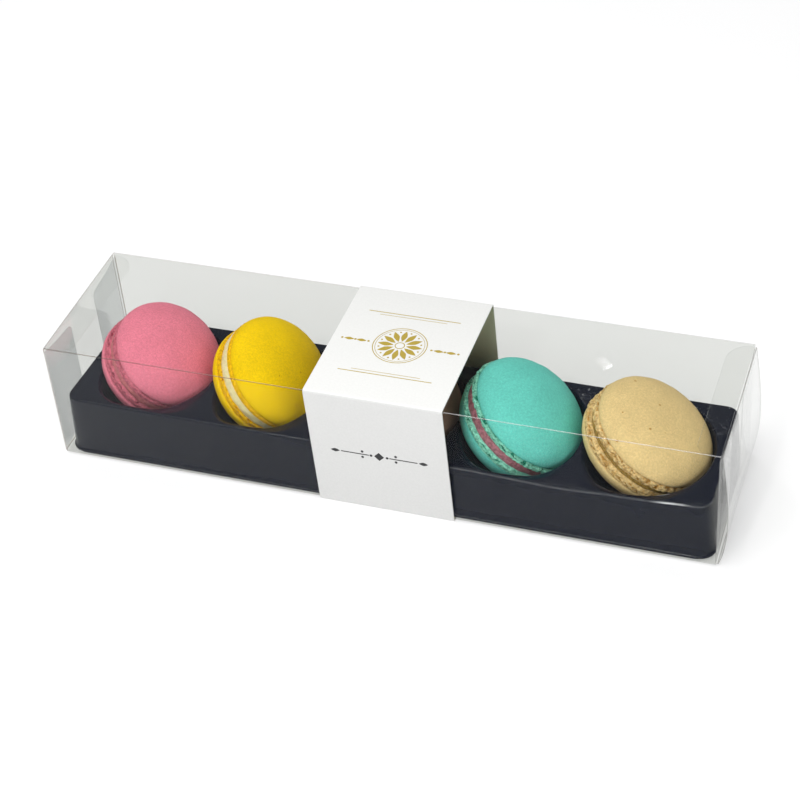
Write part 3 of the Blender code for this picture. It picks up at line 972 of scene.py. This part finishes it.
# Crumpled spots: a stronger bump, more gloss, and painted glints in the colour.
CREASES = ((0.0552, 0.0180, 0.0035), (0.0585, 0.0200, 0.0030),
           (0.0945, 0.0160, 0.0040), (0.1000, 0.0130, 0.0045))


def edge_lift(x):
    for (left, first), (right, second) in zip(EDGE_LIFT, EDGE_LIFT[1:]):
        if x <= right:
            share = max(0.0, (x - left) / (right - left))
            return first + share * share * (3 - 2 * share) * (second - first)
    return EDGE_LIFT[-1][1]


edge_mask, crease_mask, painted_highlight_mask = new_masks(tray, "edge", "crease", "painted_highlight")
outward = tray.data.attributes["outward"]
for vert in tray.data.vertices:
    on_rim = outward.data[vert.index].vector.length > 0.5 and vert.co.z > TRAY_TOP - EDGE_ROUND - MERGE
    edge_mask.data[vert.index].value = 1.0 if on_rim else 0.0
    # Painted highlight: a light line along the front edge's round, brightest at one spot right of the band.
    if on_rim and vert.co.y < TRAY_FRONT + HIGHLIGHT_DEPTH:
        along_x = vert.co.x - MIDDLE_X
        off = abs(vert.co.z - TRAY_TOP + 0.5 * EDGE_ROUND) / (0.45 * EDGE_ROUND)
        highlight_strength = HIGHLIGHT_LINE if along_x > HIGHLIGHT_START else 0.0
        highlight_strength += (HIGHLIGHT_PEAK - HIGHLIGHT_LINE) * math.exp(-((along_x - HIGHLIGHT_X) / HIGHLIGHT_REACH) ** 4)
        painted_highlight_mask.data[vert.index].value = highlight_strength * max(0.0, 1 - off)
    for x, y, reach in CREASES:
        away = math.hypot(vert.co.x - MIDDLE_X - x, vert.co.y - y) / reach
        crease_mask.data[vert.index].value = max(crease_mask.data[vert.index].value, math.exp(-away * away))
    height = (vert.co.z - TRAY_FOOT) / (TRAY_TOP - TRAY_FOOT)
    forward = min(1.0, max(0.0, (SAG_START - vert.co.y) / (SAG_START - TRAY_FRONT)))
    lift = edge_lift(vert.co.x - MIDDLE_X) * forward
    swell = SWELL * noise.noise(vert.co * 90)
    vert.co.z += (lift + swell) * max(0.0, height)
solidify = tray.modifiers.new("wall", "SOLIDIFY")
solidify.thickness = TRAY_WALL
solidify.offset = -1.0
only(tray)
bpy.ops.object.modifier_apply(modifier="wall")
bpy.ops.object.shade_smooth_by_angle(angle=math.radians(45))
print("tray with thickness:", len(tray.data.polygons), "faces")

# %% [markdown]
# ## The tray's finish
# The sheet is black polystyrene with a slight blue cast and a soft gloss. Forming stretches it, so
# its gloss is uneven and its top is faintly crinkled: a fine bump, stronger where it was crumpled.
# The masks also mix a light grey into the colour: a painted highlight along the front edge, and
# painted glints in a few small marks where the top was crumpled.

# %% Tray material
tray_finish, nodes, links, shader = new_material("black_sheet")
coords = nodes.new("ShaderNodeTexCoord").outputs["Object"]
haze = add_noise(nodes, links, coords, 60.0, 3.0)
colour = add_mix(nodes, links, haze, (0.003, 0.005, 0.015, 1.0), (0.005, 0.008, 0.020, 1.0))
# Painted highlight along the front edge and painted glints at the crumpled spots, mixed in as light grey.
highlight_streaks = add_range(nodes, links, add_noise(nodes, links, coords, 500.0, 2.0), 0.3, 0.6, 0.5, 1.0)
painted_highlight = add_maths(nodes, links, "MULTIPLY", highlight_streaks, add_mask(nodes, "painted_highlight"))
painted_glints = add_range(nodes, links, add_noise(nodes, links, coords, 620.0, 1.0), 0.67, 0.75, 0.0, 0.40)
creased = add_maths(nodes, links, "POWER", add_mask(nodes, "crease"), 3.0)
painted_highlight = add_maths(nodes, links, "MAXIMUM", painted_highlight, add_maths(nodes, links, "MULTIPLY", painted_glints, creased))
colour = add_mix(nodes, links, painted_highlight, colour, (0.86, 0.87, 0.90, 1.0))
links.new(colour, shader.inputs["Base Color"])
gloss = add_range(nodes, links, haze, 0.3, 0.7, 0.17, 0.25)
edge_gloss = add_range(nodes, links, add_mask(nodes, "edge"), 0.0, 1.0, 1.0, 0.40)
gloss = add_maths(nodes, links, "MULTIPLY", gloss, edge_gloss)
crease_gloss = add_range(nodes, links, add_mask(nodes, "crease"), 0.0, 1.0, 1.0, 0.55)
links.new(add_maths(nodes, links, "MULTIPLY", gloss, crease_gloss), shader.inputs["Roughness"])
waves = add_maths(nodes, links, "MULTIPLY", add_noise(nodes, links, coords, 60.0, 1.0), 0.10)
wrinkle = add_noise(nodes, links, coords, 420.0, 2.0)
wrinkle = add_maths(nodes, links, "MULTIPLY", wrinkle, add_mask(nodes, "crease"))
bump = nodes.new("ShaderNodeBump")
bump.inputs["Distance"].default_value = 0.0012
bump.inputs["Strength"].default_value = 0.8
links.new(add_maths(nodes, links, "ADD", waves, wrinkle), bump.inputs["Height"])
links.new(bump.outputs["Normal"], shader.inputs["Normal"])
shader.inputs["Specular IOR Level"].default_value = 0.27
tray.data.materials.append(tray_finish)
hand_in(tray, "black_tray", "tray")

# %% [markdown]
# ## The film's finish
# Thin film bends no light: it passes most of it straight, takes a little with a faint green cast,
# and mirrors the rest, more the flatter one looks along it. A Principled glass would bend light as
# a block does. So a Transparent and a Glossy shader are mixed, by a mirror share that rises with
# a high power of how edge-on the surface is seen, and which is alike from both sides. The walls are
# the clearest. Folds are hazy, and their tint darkens towards the left end as painted shade. The
# tuck flaps lie under a wall and need less tint. The dust flaps at the left end are a little
# crumpled, so they ripple more, and their darker tint is painted shade.

# %% Film material
# The fade also darkens the creased film's tint towards the left end, as painted shade.
SHADE_AND_HAZE_FADE = (-0.03, 0.04)
EDGE_ON_POWER = 4.5


def film_material(name, tint, haze, haze_roughness, ripple_strength):
    """A film that passes light of its tint; haze is the mirror share seen head on.

    Both may be a pair, for the left end and the right end of the box; the darker tint at the left end is
    painted shade.
    """
    made, nodes, links, shader = new_material(name)
    nodes.remove(shader)
    coords = nodes.new("ShaderNodeTexCoord").outputs["Object"]
    passing = nodes.new("ShaderNodeBsdfTransparent")
    if len(tint) == 2:
        apart = nodes.new("ShaderNodeSeparateXYZ")
        links.new(coords, apart.inputs[0])
        to_right = add_range(nodes, links, apart.outputs["X"], *SHADE_AND_HAZE_FADE, 0.0, 1.0)
        links.new(add_mix(nodes, links, to_right, (*tint[0], 1.0), (*tint[1], 1.0)), passing.inputs["Color"])
        haze = add_range(nodes, links, to_right, 0.0, 1.0, *haze)
    else:
        passing.inputs["Color"].default_value = (*tint, 1.0)
    mirror = nodes.new("ShaderNodeBsdfGlossy")
    mirror.inputs["Color"].default_value = (0.95, 0.95, 0.95, 1.0)
    mirror.inputs["Roughness"].default_value = haze_roughness
    ripple = nodes.new("ShaderNodeBump")
    ripple.inputs["Distance"].default_value = 0.0004
    ripple.inputs["Strength"].default_value = ripple_strength
    links.new(add_noise(nodes, links, coords, 70.0, 2.0), ripple.inputs["Height"])
    links.new(ripple.outputs["Normal"], mirror.inputs["Normal"])
    facing = nodes.new("ShaderNodeLayerWeight")
    facing.inputs["Blend"].default_value = 0.5
    edge_on = add_maths(nodes, links, "POWER", facing.outputs["Facing"], EDGE_ON_POWER)
    blend = nodes.new("ShaderNodeMixShader")
    links.new(add_maths(nodes, links, "ADD", edge_on, haze), blend.inputs["Fac"])
    links.new(passing.outputs[0], blend.inputs[1])
    links.new(mirror.outputs[0], blend.inputs[2])
    links.new(blend.outputs[0], nodes["Material Output"].inputs["Surface"])
    return made


clear_film = film_material("clear_film", (0.930, 0.933, 0.925), 0.002, 0.04, 0.10)
creased_film = film_material("creased_film", ((0.56, 0.52, 0.48), (0.68, 0.68, 0.66)),
                             (0.07, 0.15), 0.30, 0.10)
inner_film = film_material("inner_film", (0.980, 0.982, 0.978), 0.002, 0.04, 0.10)
# The left dust flaps' darker tint is painted shade; their stronger ripple is crumpling.
shaded_flap_film = film_material("shaded_flap_film", (0.870, 0.878, 0.880), 0.010, 0.12, 0.60)
print("film fades from", SHADE_AND_HAZE_FADE[0], "to", SHADE_AND_HAZE_FADE[1], "m along the box")

# %% [markdown]
# ## The clear sheet
# The box is one sheet of clear film, folded round and tucked in at both ends. So it is modelled as
# one: a cube without ends gives the four walls, cuts mark where flaps begin, and each flap is
# extruded from its wall's end edge and folded. A bevel rounds the folds, and Solidify adds the
# film's thickness on the inside.

# %% Clear sheet walls
SLACK = 0.0003
FLAP_X = END_X - 2 * SLACK
HALF_PANEL = WALL_Y - 2 * SLACK
FLAP_LOW = 3 * SLACK
FLAP_HIGH = BOX_HEIGHT - 5 * SLACK
TUCK_Z = BOX_HEIGHT - 2 * SLACK

bpy.ops.mesh.primitive_cube_add(size=1.0)
film = start_piece("clear_sheet")
film.scale = (2 * FLAP_X, 2 * WALL_Y, BOX_HEIGHT)
film.location = (0, 0, BOX_HEIGHT / 2)
only(film)
bpy.ops.object.transform_apply(location=True, rotation=True, scale=True)
bpy.ops.object.mode_set(mode="EDIT")
open_ends()
for place, way in (((0, 0, FLAP_LOW), (0, 0, 1)), ((0, 0, FLAP_HIGH), (0, 0, 1)),
                   ((0, -HALF_PANEL, 0), (0, 1, 0)), ((0, HALF_PANEL, 0), (0, 1, 0))):
    bpy.ops.mesh.select_all(action="SELECT")
    bpy.ops.mesh.bisect(plane_co=place, plane_no=way)
bpy.ops.object.mode_set(mode="OBJECT")
print("walls:", len(film.data.polygons), "faces")

# %% [markdown]
# ## The flaps
# At each end the side walls carry a dust flap, and the floor carries the closing panel, which goes
# up outside the dust flaps and ends in a tuck flap with round corners. The right panel bows out.
# Every fold is the same two moves: pick the edge, extrude it and place the new points.

# %% Clear sheet flaps
NEAR = 0.00001
DUST_FLAP = ((0.35, 0.55), (0.94, 1.0), (1.0, 1.6))
DUST_DEPTH = 0.0180
DUST_TAPER = 0.0024
PANEL_STEPS = 14
BOW_POWER = 0.75
TUCK_LENGTH = 0.0085
TUCK_CORNER = 0.0060
TUCK_DROOP = 0.0012
TUCK_STEPS = 6


def fold_out(place):
    """Extrudes the picked edges and moves each new point to what place makes of it."""
    bpy.ops.mesh.extrude_edges_move()
    cage = bmesh.from_edit_mesh(bpy.context.object.data)
    for vert in cage.verts:
        if vert.select:
            vert.co = place(vert.co)
    bmesh.update_edit_mesh(bpy.context.object.data)


def near(value, target):
    return abs(value - target) < NEAR


def fold_dust_flap(end, side):
    middle = (FLAP_LOW + FLAP_HIGH) / 2
    pick_edges(lambda co: near(co.x, end * FLAP_X) and near(co.y, side * WALL_Y)
               and FLAP_LOW - NEAR < co.z < FLAP_HIGH + NEAR)
    for depth, taper in DUST_FLAP:
        y = side * (WALL_Y - depth * DUST_DEPTH)
        half = (FLAP_HIGH - FLAP_LOW) / 2 - taper * DUST_TAPER
        fold_out(lambda co: (co.x, y, middle + math.copysign(half, co.z - middle)))


def fold_end_panel(end, bow):
    pick_edges(lambda co: near(co.x, end * FLAP_X) and near(co.z, 0) and abs(co.y) < HALF_PANEL + NEAR)
    fold_out(lambda co: (end * END_X, co.y, 0))
    for k in range(1, PANEL_STEPS + 1):
        up = k / PANEL_STEPS
        x = end * (END_X + bow * math.sin(math.pi * up ** BOW_POWER))
        fold_out(lambda co: (x, co.y, up * TUCK_Z))
    straight = TUCK_LENGTH - TUCK_CORNER
    for k in range(TUCK_STEPS + 1):
        angle = 0.5 * math.pi * k / (TUCK_STEPS + 0.5)
        run = straight + TUCK_CORNER * math.sin(angle)
        half = HALF_PANEL - TUCK_CORNER * (1 - math.cos(angle))
        z = TUCK_Z - TUCK_DROOP * (run / TUCK_LENGTH) ** 2
        fold_out(lambda co: (end * (END_X - run), math.copysign(half, co.y), z))


print("a panel bows out in", PANEL_STEPS, "steps")

# %% [markdown]
# ## Fold all the flaps
# Both ends are folded the same way, and only the right panel bows. The film is still one surface, so
# its faces are made to agree on which side is out.

# %% Fold the flaps
only(film)
bpy.ops.object.mode_set(mode="EDIT")
for end, bow in ((-1, 0.0), (1, BOW)):
    fold_end_panel(end, bow)
    for side in (-1, 1):
        fold_dust_flap(end, side)
bpy.ops.mesh.select_all(action="SELECT")
bpy.ops.mesh.normals_make_consistent(inside=False)
bpy.ops.object.mode_set(mode="OBJECT")
print("with flaps:", len(film.data.polygons), "faces")

# %% [markdown]
# ## Folds and thickness of the film
# Film cannot fold to a knife edge. A narrow bevel along the folds catches the light as a thin line,
# which is what shows the box's edges in the photograph. The bevel and the cut edges get the hazy
# film, by their material's number.

# %% Film folds and thickness
FOLD_WIDTH = 0.00026
FOLD_SEGMENTS = 3
CREASED, INNER, FLAP = 1, 2, 3

top_face = max(film.data.polygons, key=lambda face: face.center.z + face.area)
if top_face.normal.z < 0:
    film.data.flip_normals()
for finish in (clear_film, creased_film, inner_film, shaded_flap_film):
    film.data.materials.append(finish)
for face in film.data.polygons:
    # Dust flaps at the left end get the darker flap film: painted shade.
    if abs(face.normal.x) > 0.5 and -END_X + 0.5 * SLACK < face.center.x < 0:
        face.material_index = FLAP
    if abs(face.normal.z) > 0.5 and TUCK_Z - 1.5 * TUCK_DROOP < face.center.z < TUCK_Z + NEAR:
        face.material_index = INNER
bevel = film.modifiers.new("folds", "BEVEL")
bevel.width = FOLD_WIDTH
bevel.segments = FOLD_SEGMENTS
bevel.limit_method = "ANGLE"
bevel.angle_limit = math.radians(40)
bevel.material = CREASED
solidify = film.modifiers.new("film", "SOLIDIFY")
solidify.thickness = SHEET
solidify.offset = -1.0
solidify.material_offset_rim = CREASED
only(film)
for modifier in ("folds", "film"):
    bpy.ops.object.modifier_apply(modifier=modifier)
settle(film, Matrix.Translation((MIDDLE_X, 0, FLOOR_Z)))
bpy.ops.object.shade_smooth_by_angle(angle=math.radians(30))
hand_in(film, "clear_film", "clear_box")

# %% [markdown]
# ## The card band
# The band is a strip of white card folded into a loop that hugs the box. It has slipped a little out
# of square, so its top lies to the left of its bottom. A cube without ends is the loop, its four
# folds are bevelled, and Solidify puts the card's thickness on the outside.

# %% Card band
band_low, band_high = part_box("card_band")
CARD = 0.0004
BAND_WIDTH = 0.0440
BAND_SKEW = (band_high.x - band_low.x) - BAND_WIDTH
FOLD_ROUND = 0.0006

band_middle = (band_low + band_high) / 2
inner_y = band_high.y - CARD
inner_height = band_high.z - band_low.z - 2 * CARD
bpy.ops.mesh.primitive_cube_add(size=1.0)
band = start_piece("card_loop")
band.scale = (BAND_WIDTH, 2 * inner_y, inner_height)
only(band)
bpy.ops.object.transform_apply(location=True, rotation=True, scale=True)
bpy.ops.object.mode_set(mode="EDIT")
open_ends()
bpy.ops.object.mode_set(mode="OBJECT")
for vert in band.data.vertices:
    vert.co.x -= BAND_SKEW * vert.co.z / inner_height
bevel = band.modifiers.new("folds", "BEVEL")
bevel.width = FOLD_ROUND
bevel.segments = 4
bevel.limit_method = "ANGLE"
solidify = band.modifiers.new("card", "SOLIDIFY")
solidify.thickness = CARD
solidify.offset = 1.0
solidify.use_even_offset = True
for modifier in ("folds", "card"):
    bpy.ops.object.modifier_apply(modifier=modifier)
settle(band, Matrix.Translation(band_middle))
bpy.ops.object.shade_smooth_by_angle(angle=math.radians(40))
print("band skew in mm:", round(1000 * BAND_SKEW, 2))

# %% [markdown]
# ## The card's finish
# Coated white card is smooth and nearly matt. Faint paper grain keeps it from looking like plastic.
# Its upright sides are a shade darker than its top in the photograph, so they get a darker grey: painted
# shade. Its inside gets a bright warm colour: painted light for the light inside the band. So the faces
# are sorted by which way they look, and each kind gets its own material.

# %% Card material
# The upright sides' darker grey is painted shade, for the light that falls less on them than on the top.
CARD_TOP = ((0.73, 0.73, 0.71, 1.0), (0.76, 0.76, 0.74, 1.0))
CARD_SHADED_SIDE = ((0.63, 0.63, 0.62, 1.0), (0.66, 0.66, 0.65, 1.0))
TOP, INSIDE, SHADED_SIDE = 0, 1, 2


def card_material(name, dark, light):
    made, nodes, links, shader = new_material(name)
    coords = nodes.new("ShaderNodeTexCoord").outputs["Object"]
    fibre = add_noise(nodes, links, coords, 1500.0, 3.0)
    share = add_range(nodes, links, fibre, 0.3, 0.7, 0.0, 1.0)
    links.new(add_mix(nodes, links, share, dark, light), shader.inputs["Base Color"])
    shader.inputs["Roughness"].default_value = 0.5
    bump = nodes.new("ShaderNodeBump")
    bump.inputs["Distance"].default_value = 0.00005
    bump.inputs["Strength"].default_value = 0.2
    links.new(fibre, bump.inputs["Height"])
    links.new(bump.outputs["Normal"], shader.inputs["Normal"])
    return made


# The inside's bright warm colour is painted light, for the light that reaches the inside of the band.
inside_painted_light_finish, nodes, links, shader = new_material("band_inside_painted_light")
shader.inputs["Base Color"].default_value = (0.95, 0.90, 0.67, 1.0)
shader.inputs["Roughness"].default_value = 0.7
card_finish = card_material("white_card", *CARD_TOP)
shaded_side_finish = card_material("white_card_shaded_side", *CARD_SHADED_SIDE)
for finish in (card_finish, inside_painted_light_finish, shaded_side_finish):
    band.data.materials.append(finish)
for face in band.data.polygons:
    inward = face.normal.dot(face.center - band_middle) < 0
    upright = abs(face.normal.y) > 0.7
    face.material_index = INSIDE if inward else SHADED_SIDE if upright else TOP
hand_in(band, "white_card", "card_band")

# %% [markdown]
# ## Ink shapes
# The band's print is a generic design of thin gold shapes on the top and black ones on the front.
# Ink lies flat on the card, so each shape is a flat outline turned into a very thin plate, sunk
# halfway into the card so that it cannot float. One helper makes the plate from a flat face.

# %% Ink helpers
INK = 0.00004


def flat_disc(radius, points):
    bpy.ops.mesh.primitive_circle_add(vertices=points, radius=radius, fill_type="NGON")
    return bpy.context.object


def thicken(obj):
    """Gives a flat shape in the plane of X and Y the thickness of ink."""
    only(obj)
    bpy.ops.object.mode_set(mode="EDIT")
    bpy.ops.mesh.select_all(action="SELECT")
    bpy.ops.mesh.extrude_region_move(TRANSFORM_OT_translate={"value": (0, 0, INK)})
    bpy.ops.mesh.select_all(action="SELECT")
    bpy.ops.mesh.normals_make_consistent(inside=False)
    bpy.ops.object.mode_set(mode="OBJECT")
    return obj


def ink_ring(radius, width):
    """A thin ring: a disc whose inside is inset and taken out."""
    ring = flat_disc(radius, 96)
    bpy.ops.object.mode_set(mode="EDIT")
    bpy.ops.mesh.select_mode(type="FACE")
    bpy.ops.mesh.select_all(action="SELECT")
    bpy.ops.mesh.inset(thickness=width)
    bpy.ops.mesh.delete(type="FACE")
    bpy.ops.object.mode_set(mode="OBJECT")
    return thicken(ring)


def ink_leaf(length, width):
    """A pointed leaf from a disc: its points are drawn towards the long axis at both ends."""
    leaf = flat_disc(1.0, 32)
    for vert in leaf.data.vertices:
        narrow = 1 - abs(vert.co.x) ** 1.5
        vert.co = (vert.co.x * length / 2, math.copysign(narrow * width / 2, vert.co.y), 0)
    only(leaf)
    bpy.ops.object.mode_set(mode="EDIT")
    bpy.ops.mesh.select_all(action="SELECT")
    bpy.ops.mesh.remove_doubles(threshold=0.000005)
    bpy.ops.object.mode_set(mode="OBJECT")
    return thicken(leaf)


def ink_bar(length, width):
    bpy.ops.mesh.primitive_plane_add(size=1.0)
    bar = bpy.context.object
    settle(bar, Matrix.Diagonal((length, width, 1, 1)))
    return thicken(bar)


def ink_dot(radius):
    return thicken(flat_disc(radius, 24))


print("ink is", 1000 * INK, "mm thick")

# %% [markdown]
# ## Copies and joining
# A shape that repeats is made once. Each copy gets its own mesh, moved to its place, and in the end
# all shapes of one ink are joined into one piece and laid on the card.

# %% Copies and joining
def repeat(obj, matrices):
    """Copies of a shape, each with its own mesh, put at the given places; the first one goes."""
    made = []
    for matrix in matrices:
        twin = obj.copy()
        twin.data = obj.data.copy()
        twin.data.transform(matrix)
        scene.collection.objects.link(twin)
        made.append(twin)
    bpy.data.objects.remove(obj, do_unlink=True)
    return made


def join_ink(shapes, name, finish, matrix):
    only(shapes[0])
    for shape in shapes:
        shape.select_set(True)
    bpy.ops.object.join()
    joined = start_piece(name)
    joined.data.materials.append(finish)
    settle(joined, matrix)
    hand_in(joined, "white_card")


print("band top middle in mm:", [round(1000 * v, 1) for v in (band_middle.x - BAND_SKEW / 2, band_high.z)])

# %% [markdown]
# ## Print on the band
# On the top a rosette of twelve leaves stands in a double ring, with fine rules and dots to both
# sides. On the front is a small black rule with a diamond in its middle. Gold ink is metal flakes in
# varnish, so its material is metallic with some roughness, and the black ink is plain and matt.

# %% Print
def shifted(x, y, turn=0.0):
    return Matrix.Translation((x, y, 0)) @ Matrix.Rotation(turn, 4, "Z")


gold_ink, nodes, links, shader = new_material("gold_ink")
shader.inputs["Base Color"].default_value = (0.50, 0.37, 0.06, 1.0)
shader.inputs["Metallic"].default_value = 0.55
shader.inputs["Roughness"].default_value = 0.42
black_ink, nodes, links, shader = new_material("black_ink")
shader.inputs["Base Color"].default_value = (0.02, 0.02, 0.022, 1.0)
shader.inputs["Roughness"].default_value = 0.6
LEAVES = 12

leaf_turns = [math.tau * k / LEAVES for k in range(LEAVES)]
gold = [ink_ring(0.0086, 0.00028), ink_ring(0.0078, 0.00016), ink_ring(0.0016, 0.00030)]
leaf_places = [Matrix.Rotation(t, 4, "Z") @ shifted(0.0046, 0) for t in leaf_turns]
gold += repeat(ink_leaf(0.0052, 0.0019), leaf_places)
dot_turns = [t + math.pi / LEAVES for t in leaf_turns]
gold += repeat(ink_dot(0.00032), [Matrix.Rotation(t, 4, "Z") @ shifted(0.0066, 0) for t in dot_turns])
for side in (-1, 1):
    gold += repeat(ink_bar(0.0300, 0.00030), [shifted(0, side * 0.0150)])
    gold += repeat(ink_bar(0.0220, 0.00018), [shifted(0, side * 0.0138)])
    gold += repeat(ink_leaf(0.0034, 0.0013), [shifted(side * x, 0) for x in (0.0125, 0.0165)])
    gold += repeat(ink_dot(0.00040), [shifted(side * x, 0) for x in (0.0102, 0.0145, 0.0188)])
top_place = Vector((band_middle.x - BAND_SKEW / 2, 0.0, band_high.z - INK / 2))
join_ink(gold, "gold_print", gold_ink, Matrix.Translation(top_place))

BLACK_DOTS = ((0.0026, 0), (0.0054, 0.0011), (0.0054, -0.0011))
black = [thicken(flat_disc(0.0016, 4))]
for side in (-1, 1):
    black += repeat(ink_bar(0.0090, 0.00036), [shifted(side * 0.0078, 0)])
    black += repeat(ink_leaf(0.0030, 0.0013), [shifted(side * 0.0142, 0)])
    black += repeat(ink_dot(0.00045), [shifted(side * x, y) for x, y in BLACK_DOTS])
front_place = Matrix.Translation((band_middle.x, band_low.y + INK / 2, band_middle.z))
join_ink(black, "black_print", black_ink, front_place @ Matrix.Rotation(math.pi / 2, 4, "X"))
print(LEAVES, "leaves in the rosette")
